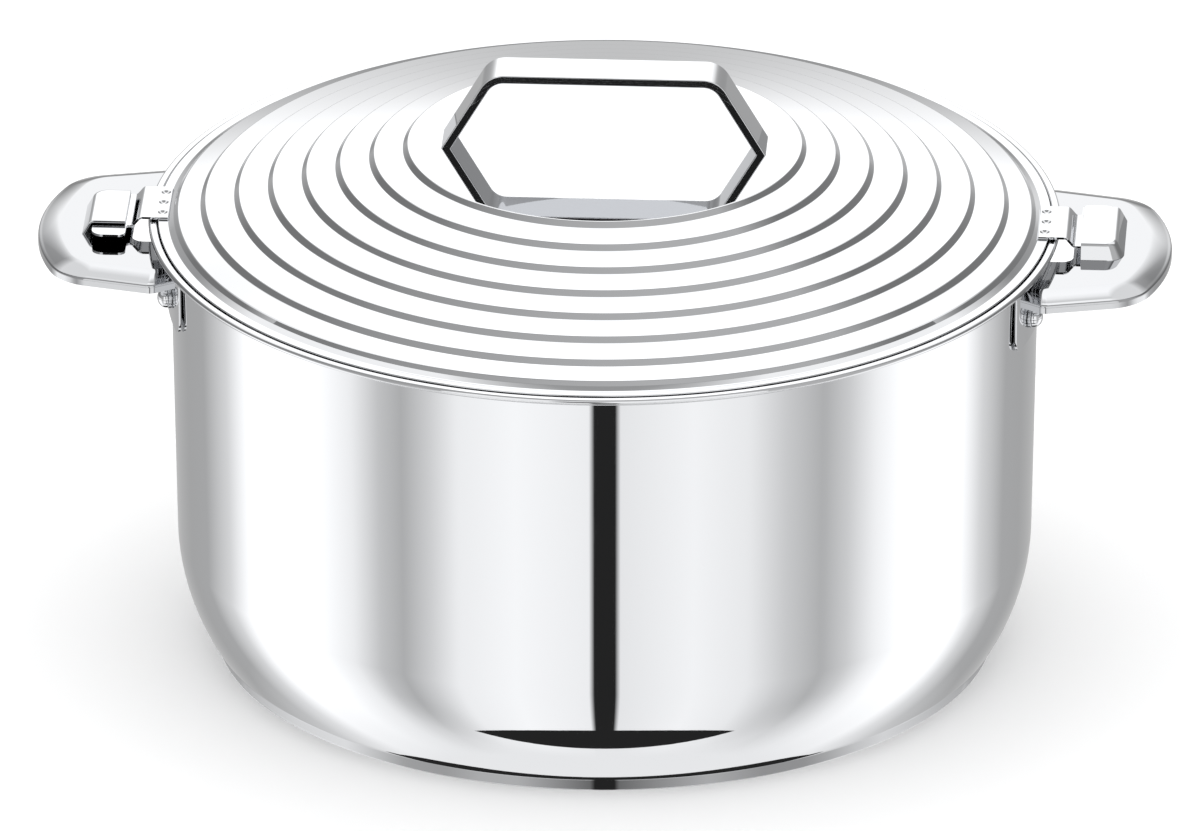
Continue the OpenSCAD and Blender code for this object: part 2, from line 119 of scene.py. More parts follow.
def newPiece(name, vertices, faces):
    mergeDistance = 1e-7  # metres
    mesh = bpy.data.meshes.new(name)
    mesh.from_pydata([Vector(v) * mm for v in vertices], [], faces)
    mesh.update()
    piece = bpy.data.objects.new(name, mesh)
    bpy.context.scene.collection.objects.link(piece)
    work = bmesh.new()
    work.from_mesh(mesh)
    bmesh.ops.remove_doubles(work, verts=work.verts, dist=mergeDistance)
    bmesh.ops.recalc_face_normals(work, faces=work.faces)
    for face in work.faces:
        face.smooth = True
    work.to_mesh(mesh)
    work.free()
    return piece


def turnedGrid(outline, axis="z", segments=roundSegments):
    # vertices and faces of a closed outline turned round an axis
    vertices, rows = [], []
    for across, up in outline:
        if across < onAxis:
            vertices.append((0, 0, up))
            rows.append([len(vertices) - 1] * segments)
            continue
        row = []
        for k in range(segments):
            angle = 2 * math.pi * k / segments
            row.append(len(vertices))
            vertices.append((across * math.cos(angle), across * math.sin(angle), up))
        rows.append(row)
    faces = []
    for i in range(len(rows)):
        a, b = rows[i], rows[(i + 1) % len(rows)]
        for k in range(segments):
            m = (k + 1) % segments
            corners = []
            for index in (a[k], a[m], b[m], b[k]):
                if index not in corners:
                    corners.append(index)
            if len(corners) > 2:
                faces.append(corners)
    if axis == "x":
        vertices = [(z, x, y) for x, y, z in vertices]
    return vertices, faces


def turned(name, outline):
    return newPiece(name, *turnedGrid(outline))


def joinGrids(grids):
    vertices, faces = [], []
    for part, partFaces in grids:
        start = len(vertices)
        vertices += part
        faces += [[start + index for index in face] for face in partFaces]
    return vertices, faces


def placedGrid(grid, angle, lift=0):
    # turns a grid round Z and lifts it
    c, s = math.cos(math.radians(angle)), math.sin(math.radians(angle))
    return [(x * c - y * s, x * s + y * c, z + lift) for x, y, z in grid[0]], grid[1]


def sideAngle(side):
    # pieces are drawn on the right of the pot, and half a turn takes them to its left
    return 0 if side > 0 else 180


def gridFaces(rows, columns):
    return [[i * columns + j, i * columns + j + 1, (i + 1) * columns + j + 1, (i + 1) * columns + j]
            for i in range(rows - 1) for j in range(columns - 1)]


def thicken(piece, thickness):
    # the sheet grows inwards from its outer face
    solid = piece.modifiers.new("sheet", "SOLIDIFY")
    solid.thickness = thickness * mm
    solid.offset = -1
    solid.use_even_offset = True


def softenEdges(piece, width):
    sharperThan = 40  # degrees between two faces
    bevel = piece.modifiers.new("edges", "BEVEL")
    bevel.width = width * mm
    bevel.segments = 2
    bevel.limit_method = "ANGLE"
    bevel.angle_limit = math.radians(sharperThan)


def flatShading(piece):
    # flat faces keep their own normal, so a mirror finish shows no false curves
    sharperThan = 50  # degrees between two faces
    piece.data.set_sharp_from_angle(angle=math.radians(sharperThan))
    weighted = piece.modifiers.new("normals", "WEIGHTED_NORMAL")
    weighted.mode = "FACE_AREA"
    weighted.weight = 100
    weighted.keep_sharp = True


def settle(piece, material, body, *nodes):
    # material, body and the CAD nodes that the piece stands for
    piece.data.materials.clear()
    piece.data.materials.append(material)
    flatShading(piece)
    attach(piece, body)
    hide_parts(*nodes)
    return piece


def linearColour(hexCode):
    channels = [int(hexCode[i:i + 2], 16) / 255 for i in (1, 3, 5)]
    return [c / 12.92 if c <= 0.04045 else ((c + 0.055) / 1.055) ** 2.4 for c in channels] + [1]


def addNode(tree, kind, settings=None, links=None):
    # settings: attribute or socket name to value; links: socket name to an output socket
    node = tree.nodes.new(kind)
    for key, value in (settings or {}).items():
        if isinstance(key, str) and hasattr(node, key):
            setattr(node, key, value)
        else:
            node.inputs[key].default_value = value
    for key, source in (links or {}).items():
        tree.links.new(source, node.inputs[key])
    return node


def newMaterial(name, **settings):
    material = bpy.data.materials.new(name)
    material.use_nodes = True
    tree = material.node_tree
    shader = tree.nodes["Principled BSDF"]
    for key, value in settings.items():
        shader.inputs[key.replace("_", " ")].default_value = value
    return material, tree, shader


def polishedStainless(name, steelColour):
    # 304 stainless sheet, buffed to a mirror: sharp reflections, faintly hazed here and there by
    # the fine lines of the polishing mop
    values = {"hazeMm": 22, "lineMm": 0.9, "lowRoughness": 0.012, "highRoughness": 0.03,
              "plainRoughness": 0.035}
    material, tree, shader = newMaterial(name, Base_Color=linearColour(steelColour), Metallic=1,
                                         Roughness=values["plainRoughness"])
    where = addNode(tree, "ShaderNodeTexCoord")
    haze = addNode(tree, "ShaderNodeTexNoise", {"Scale": 1 / (values["hazeMm"] * mm), "Detail": 4},
                   {"Vector": where.outputs["Object"]})
    rough = addNode(tree, "ShaderNodeMapRange", {"From Min": 0.3, "From Max": 0.7,
                                                 "To Min": values["lowRoughness"],
                                                 "To Max": values["highRoughness"]},
                    {"Value": haze.outputs["Fac"]})
    tree.links.new(rough.outputs["Result"], shader.inputs["Roughness"])
    lines = addNode(tree, "ShaderNodeMapping", {"Scale": (0.06, 0.06, 1)},
                    {"Vector": where.outputs["Object"]})
    grain = addNode(tree, "ShaderNodeTexNoise", {"Scale": 1 / (values["lineMm"] * mm), "Detail": 3},
                    {"Vector": lines.outputs["Vector"]})
    bump = addNode(tree, "ShaderNodeBump", {"Strength": 0.006, "Distance": 0.0001},
                   {"Height": grain.outputs["Fac"]})
    tree.links.new(bump.outputs["Normal"], shader.inputs["Normal"])
    return material


def rolledStainless():
    # 304 stainless with the plain rolled finish of the mill: soft, slightly streaky reflections
    values = {"steelColour": "#c4c6c9", "streakMm": 1.6, "lowRoughness": 0.16, "highRoughness": 0.3,
              "plainRoughness": 0.22}
    material, tree, shader = newMaterial("rolledStainless", Base_Color=linearColour(values["steelColour"]),
                                         Metallic=1, Roughness=values["plainRoughness"])
    where = addNode(tree, "ShaderNodeTexCoord")
    along = addNode(tree, "ShaderNodeMapping", {"Scale": (1, 0.05, 0.3)}, {"Vector": where.outputs["Object"]})
    streak = addNode(tree, "ShaderNodeTexNoise", {"Scale": 1 / (values["streakMm"] * mm), "Detail": 5},
                     {"Vector": along.outputs["Vector"]})
    rough = addNode(tree, "ShaderNodeMapRange", {"To Min": values["lowRoughness"],
                                                 "To Max": values["highRoughness"]},
                    {"Value": streak.outputs["Fac"]})
    tree.links.new(rough.outputs["Result"], shader.inputs["Roughness"])
    bump = addNode(tree, "ShaderNodeBump", {"Strength": 0.05, "Distance": 0.0002},
                   {"Height": streak.outputs["Fac"]})
    tree.links.new(bump.outputs["Normal"], shader.inputs["Normal"])
    return material


def polyurethaneFoam():
    # rigid foam poured in place: fine closed cells, buff and dull
    values = {"foamColour": "#dcc88e", "darkCells": "#cbb377", "lightCells": "#e6d6a4", "cellMm": 1.2}
    material, tree, shader = newMaterial("polyurethaneFoam", Base_Color=linearColour(values["foamColour"]),
                                         Roughness=0.9)
    where = addNode(tree, "ShaderNodeTexCoord")
    cells = addNode(tree, "ShaderNodeTexVoronoi", {"Scale": 1 / (values["cellMm"] * mm)},
                    {"Vector": where.outputs["Object"]})
    tone = addNode(tree, "ShaderNodeMix", {"data_type": "RGBA", 6: linearColour(values["darkCells"]),
                                           7: linearColour(values["lightCells"])},
                   {0: cells.outputs["Distance"]})
    tree.links.new(tone.outputs[2], shader.inputs["Base Color"])
    bump = addNode(tree, "ShaderNodeBump", {"Strength": 0.4, "Distance": 0.0004},
                   {"Height": cells.outputs["Distance"]})
    tree.links.new(bump.outputs["Normal"], shader.inputs["Normal"])
    return material


def mouldedPolypropylene():
    # black polypropylene, moulded with a fine spark texture
    values = {"plasticColour": "#1c1d20", "sparkMm": 0.6}
    material, tree, shader = newMaterial("mouldedPolypropylene", Roughness=0.42, IOR=1.49,
                                         Base_Color=linearColour(values["plasticColour"]))
    where = addNode(tree, "ShaderNodeTexCoord")
    spark = addNode(tree, "ShaderNodeTexNoise", {"Scale": 1 / (values["sparkMm"] * mm), "Detail": 2},
                    {"Vector": where.outputs["Object"]})
    bump = addNode(tree, "ShaderNodeBump", {"Strength": 0.15, "Distance": 0.0001},
                   {"Height": spark.outputs["Fac"]})
    tree.links.new(bump.outputs["Normal"], shader.inputs["Normal"])
    return material


polished = polishedStainless("polishedStainless", "#d9dadc")
# the handles: the same sheet, pressed, with its colour painted greyer as painted shade, so every reflection
# in them comes out darker
handleSteelPaintedShade = polishedStainless("handleStainlessPaintedShade", "#c0c1c3")
rolled = rolledStainless()
foam = polyurethaneFoam()
plugPlastic = mouldedPolypropylene()
print("materials made")


# sizes are in millimetres and degrees; most of them repeat the CAD's driving dimensions
pot = {
    "wallTop": 145.6, "wallLow": 143.7, "curveZ": 42, "curveRadius": 70, "sheet": 0.7,
    "footHeight": 4.3, "footRadius": 131, "shellTuck": 1.4,
    "shellBend": 0.4,  # mm and degrees left out where the lower curve meets the foot
    "ledgeZ": 150, "rimRadius": 152.8, "flangeFillet": 1.6, "flangeIn": 3.4,
    "ledgeIn": 2.4, "beadRadius": 1.05, "beadLift": 0.45,
    "bowlRadius": 132, "bowlFloorZ": 14.5, "bowlCorner": 16, "mouthRound": 1.8,
    "mouthWider": 0.3, "bowlRows": ((0.2, 100), (0, 60)),  # how much wider the bowl gets towards its mouth
}
flangeZ = pot["ledgeZ"] - 2 * pot["sheet"]
wallEnd = flangeZ - pot["flangeFillet"]


def wallAt(z):
    # outer radius of the pot's wall, which widens upwards
    return pot["wallTop"] - (pot["wallTop"] - pot["wallLow"]) * (wallEnd - z) / (wallEnd - pot["curveZ"])


def shellPiece():
    turn = math.degrees(math.asin((pot["curveZ"] - pot["footHeight"]) / pot["curveRadius"]))
    lowRadius = pot["wallLow"] - pot["curveRadius"] * (1 - math.cos(math.radians(turn)))
    path = [(pot["footRadius"] - pot["shellTuck"], pot["footHeight"]),
            (lowRadius - pot["shellBend"], pot["footHeight"])]
    path += arcPoints((pot["wallLow"] - pot["curveRadius"], pot["curveZ"]), pot["curveRadius"],
                      pot["shellBend"] - turn, 0, 36)
    for share in (0.25, 0.5, 0.75, 1):
        z = pot["curveZ"] + (wallEnd - pot["curveZ"]) * share
        path.append((wallAt(z), z))
    path += arcPoints((pot["wallTop"] + pot["flangeFillet"], wallEnd), pot["flangeFillet"], 170, 90, 8)
    path.append((pot["rimRadius"] - pot["flangeIn"], flangeZ))
    return turned("outerShell", sheetOutline(path, pot["sheet"]))


def bowlPiece():
    ledge, floor, corner, mouth = pot["ledgeZ"], pot["bowlFloorZ"], pot["bowlCorner"], pot["mouthRound"]
    path = [(pot["rimRadius"] - pot["ledgeIn"], ledge)]
    path += arcPoints((pot["bowlRadius"] + pot["mouthWider"] + mouth, ledge - mouth), mouth, 90, 178, 8)
    path += [(pot["bowlRadius"] + wider, z) for wider, z in pot["bowlRows"]]
    path += arcPoints((pot["bowlRadius"] - corner, floor + corner), corner, 0, -90, 20)
    path += [(60, floor), (0, floor)]
    bead, middle = pot["beadRadius"], ledge + pot["beadLift"]
    rim = arcPoints((pot["rimRadius"] - bead, middle), bead, -90, 90, 12)
    rim += arcPoints((pot["rimRadius"] - 2 * bead, middle), bead, 90, 270, 12)
    return newPiece("innerBowl", *joinGrids([turnedGrid(sheetOutline(path, pot["sheet"])), turnedGrid(rim)]))


base = {"ring": 1.6, "ringLean": 0.3, "gap": 0.05, "plateZ": 3, "raised": 1, "raisedRadius": 104, "slope": 3,
        "slopeBack": 3.2, "bend": 1.5, "plugHole": 8}


def basePiece():
    # the bottom plate, raised in the middle, with the foot ring round it
    foot, inner, bend = pot["footRadius"], base["raisedRadius"], base["bend"]
    ringIn, ringTop = foot - base["ring"], pot["footHeight"] - base["gap"]
    plate, raised = base["plateZ"], base["plateZ"] + base["raised"]
    outline = roundPath([
        (base["plugHole"], raised), (inner, raised, bend), (inner + base["slope"], plate, bend),
        (ringIn, plate, 0.4), (ringIn, 0, 0.6), (foot, 0, 0.3),
        (foot - base["ringLean"], ringTop, 0.2), (ringIn, ringTop, 0.2),
        (ringIn, plate + pot["sheet"], 0.1), (inner + base["slopeBack"], plate + pot["sheet"], bend),
        (inner + base["slopeBack"] - base["slope"], raised + pot["sheet"], bend),
        (base["plugHole"], raised + pot["sheet"])], 15)
    return turned("basePlate", outline)


settle(shellPiece(), polished, "pot", "outer_shell")
settle(bowlPiece(), polished, "pot", "inner_bowl")
settle(basePiece(), polished, "pot", "base_plate")
print("pot made")


lid = {
    "platformZ": 178, "platformRadius": 66, "steps": 8, "pitch": 11.3, "drop": 3.35,
    "riserRun": 1.45, "riserDrop": 1.8, "crest": 0.8, "valley": 0.5,
    # below its last step, which is lower and rounder, the lid falls in a cone to its flat edge
    "lastRadius": 143, "lastLower": 0.3, "lastRun": 1.3, "lastDrop": 1.3, "lastCrest": 1.2, "lastValley": 0.6,
    "coneEnd": 146.4, "edgeBend": 1.2, "edgeRadius": 149.3, "edgeZ": 151.95, "sheet": 0.7,
    "panFlangeZ": 150.3, "panEdge": 147, "panRadius": 130.3, "panMouth": 1.6, "panDraft": 0.3,
    "panFloorZ": 128, "panCorner": 8, "plugHole": 6,
}


def lidSkinPiece():
    corners = [(0, lid["platformZ"]), (30, lid["platformZ"])]
    for i in range(lid["steps"] - 1):
        radius, z = lid["platformRadius"] + lid["pitch"] * i, lid["platformZ"] - lid["drop"] * i
        corners += [(radius, z, lid["crest"]),
                    (radius + lid["riserRun"], z - lid["riserDrop"], lid["valley"])]
    radius, z = lid["lastRadius"], lid["platformZ"] - lid["drop"] * (lid["steps"] - 1) - lid["lastLower"]
    corners += [(radius, z, lid["lastCrest"]),
                (radius + lid["lastRun"], z - lid["lastDrop"], lid["lastValley"]),
                (lid["coneEnd"], lid["edgeZ"], lid["edgeBend"]), (lid["edgeRadius"], lid["edgeZ"])]
    return turned("lidSkin", sheetOutline(roundPath(corners, 9), -lid["sheet"]))


def lidPanPiece():
    flange, floor, mouth, corner = lid["panFlangeZ"], lid["panFloorZ"], lid["panMouth"], lid["panCorner"]
    path = [(lid["panEdge"], flange)]
    path += arcPoints((lid["panRadius"] + mouth, flange - mouth), mouth, 90, 178, 8)
    path += arcPoints((lid["panRadius"] - corner - lid["panDraft"], floor + corner), corner, 0, -90, 14)
    path += [(90, floor), (lid["plugHole"], floor)]
    return turned("lidPan", sheetOutline(path, -lid["sheet"]))


settle(lidSkinPiece(), polished, "lid", "lid_skin")
settle(lidPanPiece(), polished, "lid_lining", "lid_pan")
print("lid made")


def bentBar(path, thickness, width, edge, endDirections):
    # path is the outer face in (x, z); the bar lies on its left and is centred on y
    cornerSteps = 4
    normals = leftNormals(path)
    normals[0], normals[-1] = (Vector(direction) for direction in endDirections)
    section = []
    for du, dv, start in ((thickness - edge, width / 2 - edge, 0), (edge, width / 2 - edge, 90),
                          (edge, edge - width / 2, 180), (thickness - edge, edge - width / 2, 270)):
        for k in range(cornerSteps + 1):
            angle = math.radians(start + 90 * k / cornerSteps)
            section.append((du + edge * math.cos(angle), dv + edge * math.sin(angle)))
    count = len(section)
    vertices = [(p[0] + n.x * u, v, p[1] + n.y * u) for p, n in zip(path, normals) for u, v in section]
    faces = []
    for low in range(0, (len(path) - 1) * count, count):
        for k in range(count):
            after = (k + 1) % count
            faces.append([low + k, low + after, low + count + after, low + count + k])
    faces += [list(range(count)), list(range((len(path) - 1) * count, len(path) * count))]
    return vertices, faces


grip = {"width": 16.4, "thickness": 2.8, "span": 108.6, "top": 76.8, "height": 26.8, "bend": 9, "edge": 0.3,
        "gap": 0.03}


def gripPiece():
    slope = math.atan2(grip["height"], (grip["span"] - grip["top"]) / 2)
    foot = lid["platformZ"] + grip["gap"]
    path = roundPath([(grip["span"] / 2, foot), (grip["top"] / 2, foot + grip["height"], grip["bend"]),
                      (-grip["top"] / 2, foot + grip["height"], grip["bend"]), (-grip["span"] / 2, foot)], 5)
    # the ends are cut level with the lid
    level = 1 / math.sin(slope)
    return newPiece("lidHandle", *bentBar(path, grip["thickness"], grip["width"], grip["edge"],
                                          ((-level, 0), (level, 0))))


settle(gripPiece(), polished, "lid", "lid_handle")


handle = {
    "reach": 190.1, "halfWidth": 44.1, "corner": 18.5, "endBow": 86, "taper": 13.9, "sideRows": (156, 162),
    "topZ": 146, "thickness": 1.0,
    "rootRadius": 147.8, "rootHalf": 44, "rootCornerX": 148.8, "rootCorner": 4,
    "notchHalf": 18, "notchOut": 157.6, "notchRound": 4,
    # the edge: a gentle fall, then an upright lip
    "edgeRun": 8.5, "edgeDrop": 2.5, "edgePower": 1.35, "edgeRound": 1, "lipDrop": 5.5,
    "edgeRows": (1, 1.6, 2.4, 3.2, 4, 4.8, 5.6, 6.4, 7.2, 7.9, 8.5),
}


def mirroredBack(points):
    return [(x, -y) for x, y in points[::-1]]


def pressedGrid(curveAt, profile, closing):
    # a sheet pressed up inside an edge curve; closing runs back along the open side of the flat top
    rows = [[(x, y, z) for x, y in curveAt(inset)] for inset, z in profile]
    columns = len(rows[0])
    vertices = [v for row in rows for v in row] + [(x, y, profile[-1][1]) for x, y in closing]
    faces = gridFaces(len(rows), columns)
    faces.append(list(range((len(rows) - 1) * columns, len(vertices))))
    return vertices, faces


def sheetPiece(name, grid, thickness, facing, edge):
    # the grid is the sheet's outer face, which looks towards facing
    piece = newPiece(name, *grid)
    outwards = sum((Vector(face.normal) * face.area for face in piece.data.polygons), Vector())
    if outwards.dot(Vector(facing)) < 0:
        piece.data.flip_normals()
    thicken(piece, thickness)
    softenEdges(piece, edge)
    return piece


def handleCurve(inset):
    # from the pot's wall along one side, round the end and back to the wall
    bow, cornerY = handle["endBow"], handle["halfWidth"] - handle["corner"]
    bowAngle = math.asin(cornerY / (bow - handle["corner"]))
    cornerX = handle["reach"] - bow + (bow - handle["corner"]) * math.cos(bowAngle)
    radius, taper = handle["corner"] - inset, math.radians(handle["taper"])
    meet = (cornerX + radius * math.sin(taper), cornerY + radius * math.cos(taper))

    def alongSide(x):
        return x, meet[1] + (meet[0] - x) * math.tan(taper)

    # the root and its corner draw in more slowly than the edge
    rootY, rootCorner = handle["rootHalf"] - 0.55 * inset, handle["rootCorner"] - 0.25 * inset
    root = (math.sqrt(handle["rootRadius"] ** 2 - rootY ** 2), rootY)
    half = [root] + fillet(root, alongSide(handle["rootCornerX"]), meet, rootCorner, 8)
    half += [alongSide(x) for x in handle["sideRows"]]
    half += arcPoints((cornerX, cornerY), radius, 90 - handle["taper"], math.degrees(bowAngle), 20)
    half += arcPoints((handle["reach"] - bow, 0), bow - inset, math.degrees(bowAngle), 0, 10)[1:]
    return mirroredBack(half[::-1])[:-1] + half[::-1]


def handlePiece(name, side):
    top, run, fall, turn = handle["topZ"], handle["edgeRun"], handle["edgeDrop"], handle["edgeRound"]
    profile = [(0, top - handle["lipDrop"])]
    profile += [(turn - turn * math.cos(t), top - fall - turn + turn * math.sin(t))
                for t in (math.radians(d) for d in (0, 15, 30, 45, 60))]
    profile += [(inset, top - fall * ((run - inset) / (run - turn)) ** handle["edgePower"])
                for inset in handle["edgeRows"]]
    # back along the pot's wall, round the notch and along the wall again
    last = handleCurve(profile[-1][0])[-1]
    half, out, soft = handle["notchHalf"], handle["notchOut"], handle["notchRound"]
    start = math.degrees(math.atan2(last[1], last[0]))
    notchStart = math.degrees(math.asin(half / handle["rootRadius"]))
    closing = arcPoints((0, 0), handle["rootRadius"], start, notchStart, 8)[1:]
    closing += arcPoints((out - soft, half - soft), soft, 90, 0, 8) + [(out, 0)]
    closing += mirroredBack(closing)[1:]
    grid = placedGrid(pressedGrid(handleCurve, profile, closing), sideAngle(side))
    return sheetPiece(name, grid, handle["thickness"], (0, 0, 1), 0.18)


for side, word in sides:
    # the handle plates take the steel whose colour is painted greyer: painted shade
    settle(handlePiece("handlePlate" + word.capitalize(), side), handleSteelPaintedShade, "pot", "handle_plate_" + word)
print("handles made")


bracket = {
    "low": 122.7, "top": 144.98, "half": 44, "corner": 5, "thickness": 0.9,
    "shelfIn": 21, "shelfSide": 35.5, "shelfOut": 157, "bend": 1.0, "gapLow": 0.6, "gapTop": 0.3,
    "cornerRows": (0, 0.25, 0.9, 1.9, 3.3, 5), "earRows": (132, 138, 142),
}


def bracketPiece(name, side):
    # an ear against the wall, with two shelves under the handle bent out of its top
    low, top, corner, thickness = bracket["low"], bracket["top"], bracket["corner"], bracket["thickness"]
    half, shelfIn, shelfSide = bracket["half"], bracket["shelfIn"], bracket["shelfSide"]

    def faceAt(z):
        gap = bracket["gapLow"] + (bracket["gapTop"] - bracket["gapLow"]) * (z - low) / (top - low)
        return wallAt(z) + gap + thickness

    def columns(reach):
        # the columns of the ear's mesh, of which only the last ones follow its rounded corner
        fixed = 39
        outer = [26, 31, shelfSide, 38] + [fixed + (reach - fixed) * t for t in (0.33, 0.67, 1)]
        inner = [-shelfIn, -14, -7, 0, 7, 14, shelfIn]
        return [-y for y in outer[::-1]] + inner + outer

    def strip(rows):
        # rows of (radius, height, list of y)
        points = [(math.sqrt(r * r - y * y), y, z) for r, z, ys in rows for y in ys]
        return points, gridFaces(len(rows), len(rows[0][2]))

    ear = []
    for rise in bracket["cornerRows"]:
        reach = half - corner + math.sqrt(corner ** 2 - (corner - rise) ** 2)
        ear.append((faceAt(low + rise), low + rise, columns(reach)))
    whole = columns(half)
    ear += [(faceAt(z), z, whole) for z in bracket["earRows"]]
    shelfEnd = (bracket["shelfOut"], top - thickness)
    bend = fillet((faceAt(low), low), (faceAt(top), top - thickness), shelfEnd, bracket["bend"], 6)
    ear.append((*bend[0], whole))
    grids = [strip(ear)]
    ends = (-half, -shelfSide, -shelfIn, shelfIn, shelfSide, half)
    for i, isShelf in enumerate((False, True, False, True, False)):
        part = [y for y in whole if ends[i] <= y <= ends[i + 1]]
        rows = bend + [shelfEnd] if isShelf else [bend[0], (faceAt(top), top)]
        grids.append(strip([(r, z, part) for r, z in rows]))
    return sheetPiece(name, placedGrid(joinGrids(grids), sideAngle(side)), thickness, (side, 0, 0), 0.25)


rivet = {
    "angle": 11.6, "z": 131, "shank": 2, "head": 3.5, "brim": 0.4, "dome": 2.9, "gap": 0.1,
    "tail": 5, "tailHead": 3.2, "tailCap": 3, "washer": 1.2, "washerHole": 2.05, "washerRadius": 3.8,
    "earGap": 0.5,  # between the wall and the ear at the rivet
}
rivetSeat = wallAt(rivet["z"]) + rivet["earGap"] + bracket["thickness"]


def atRivets(outline, side):
    grid, middle, turn = turnedGrid(outline, axis="x", segments=64), sideAngle(side), rivet["angle"]
    return joinGrids([placedGrid(grid, angle, rivet["z"]) for angle in (middle - turn, middle + turn)])


def rivetOutline():
    # the tail spreads inside the shell's wall, and the domed head lies on the washer
    inside = wallAt(rivet["z"]) - pot["sheet"] - rivet["gap"]
    tail, top = wallAt(rivet["z"]) - rivet["tail"], rivetSeat + rivet["washer"]
    dome = [(rivet["head"] * math.cos(t), top + rivet["brim"] + rivet["dome"] * math.sin(t))
            for t in (math.radians(degrees) for degrees in range(0, 91, 6))]
    return roundPath([
        (0, tail + 0.6), (rivet["tailCap"], tail + 1.2, 0.8), (rivet["tailHead"], inside, 0.3),
        (rivet["shank"], inside), (rivet["shank"], top + rivet["gap"]),
        (rivet["head"], top + rivet["gap"], 0.2)] + dome, 15)


def washerOutline():
    inner, outer = rivet["washerHole"], rivet["washerRadius"]
    low, high = rivetSeat + 0.15, rivetSeat + rivet["washer"]
    return roundPath([(inner, low), (outer, low), (outer, high, 0.35), (inner, high)], 15)


for side, word in sides:
    name = word.capitalize()
    settle(bracketPiece("handleBracket" + name, side), polished, "pot", "handle_bracket_" + word)
    rivets = newPiece("rivets" + name, *atRivets(rivetOutline(), side))
    settle(rivets, polished, "pot", "handle_rivets_" + word)
    washers = newPiece("washers" + name, *atRivets(washerOutline(), side))
    settle(washers, rolled, "pot", "rivet_washers_" + word)
print("brackets and rivets made")


hood = {
    "in": 160, "out": 171.8, "top": 151.1, "foot": 146.02, "lean": 2.8, "end": 13.6, "thickness": 0.9,
    "mouth": {"left": 13, "right": 17.5}, "topFillet": 2.1, "cornerRadius": 6,
}


def hoodPiece(name, side, mouth):
    # closed towards -Y on the right side, open at the mouth and towards the pot
    inwards = (hood["lean"] + 5, hood["top"])
    profile = roundPath([(0, hood["foot"]), (hood["lean"], hood["top"], hood["topFillet"]), inwards], 9)[:-1]

    def curveAt(inset):
        # the corner gets tighter towards the top
        x, y = hood["out"] + hood["lean"] - inset, hood["end"] + hood["lean"] - inset
        corner = fillet((x, 0), (x, -y), (0, -y), hood["cornerRadius"] - 0.65 * inset, 10)
        return [(x, mouth), (x, 5), (x, -2)] + corner + [(hood["in"], -y)]

    grid = pressedGrid(curveAt, profile, [(hood["in"], 0), (hood["in"], mouth)])
    return sheetPiece(name, placedGrid(grid, sideAngle(side)), hood["thickness"], (0, 0, 1), 0.2)


for side, word in sides:
    piece = hoodPiece("lockHood" + word.capitalize(), side, hood["mouth"][word])
    settle(piece, polished, "pot", "lock_hood_" + word)
    # the mop doesn't reach the inside, which keeps the mill's finish
    piece.data.materials.append(rolled)
    piece.modifiers["sheet"].material_offset = 1
print("hoods made")


clip = {
    "strapIn": 145.8, "strapHalf": 13, "thickness": 0.8, "topZ": 152.77, "tongueTopZ": 149.7,
    "bendX": 155.3, "bend": 2.2, "neckX": 157.9, "neckBend": 1.2, "neckEnd": 158.6,
    "tongueIn": 159.6, "tongueOut": 170.9, "tail": 21.4, "lead": 13,
    "neckRound": 1, "innerRound": 2.4, "tailRound": 4, "leadRound": 3,
    "dentRing": 148, "dentPitch": 8.4, "dentRadius": 1.7, "dentDepth": 0.8, "dentPower": 1.2,
    "gridStep": 0.25, "gridRows": 18,  # a fine grid under the dents
}


def dentDepth(x, y):
    # three dents of the spot welds, side by side over the lid's edge
    depth = 0
    for i in (-1, 0, 1):
        angle = i * clip["dentPitch"] / clip["dentRing"]
        away = math.hypot(x - clip["dentRing"] * math.cos(angle), y - clip["dentRing"] * math.sin(angle))
        depth += clip["dentDepth"] * max(0, 1 - (away / clip["dentRadius"]) ** 2) ** clip["dentPower"]
    return depth


def clipPiece(name, side):
    half, step, topZ, tongueZ = clip["strapHalf"], clip["gridStep"], clip["topZ"], clip["tongueTopZ"]
    path = [(clip["strapIn"] + step * i, topZ) for i in range(clip["gridRows"])]
    path += roundPath([(151, topZ), (153, topZ), (clip["bendX"], topZ, clip["bend"]),
                       (clip["neckX"], tongueZ, clip["neckBend"]), (clip["neckEnd"], tongueZ)], 8)
    ys = [-half + step * j for j in range(round(2 * half / step) + 1)]
    strap = [(x, y, z - dentDepth(x, y)) for x, z in path for y in ys]
    faces = gridFaces(len(path), len(ys))
    # the tongue's outline, from the neck round its long tail and back along its short lead
    inner, out, tail, lead = clip["tongueIn"], clip["tongueOut"], clip["tail"], clip["lead"]
    neckRound, innerRound = clip["neckRound"], clip["innerRound"]
    tailRound, leadRound = clip["tailRound"], clip["leadRound"]
    tongue = arcPoints((inner - neckRound, half + neckRound), neckRound, -90, 0, 5)[1:]
    tongue += arcPoints((inner + innerRound, tail - innerRound), innerRound, 180, 90, 6)
    tongue += arcPoints((out - tailRound, tail - tailRound), tailRound, 90, 0, 8)
    tongue += arcPoints((out - leadRound, leadRound - lead), leadRound, 0, -90, 8)
    faces.append(list(range(len(strap) - len(ys), len(strap) + len(tongue))))
    grid = strap + [(x, y, tongueZ) for x, y in tongue], faces
    return sheetPiece(name, placedGrid(grid, sideAngle(side)), clip["thickness"], (0, 0, 1), 0.16)


for side, word in sides:
    settle(clipPiece("lidClip" + word.capitalize(), side), polished, "lid", "lid_clip_" + word)
print("clips made")


# the inner pieces are shown by the CAD solids themselves
for node, material in {
    "body_foam": foam, "lid_foam": foam, "base_fill_plug": plugPlastic, "lid_fill_plug": plugPlastic,
    "handle_backing_plates": rolled,
}.items():
    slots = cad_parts[node].data.materials
    slots.clear()
    slots.append(material)


studio = {"floorMetres": 40, "floorColour": "#fafafa", "floorZ": -0.02}


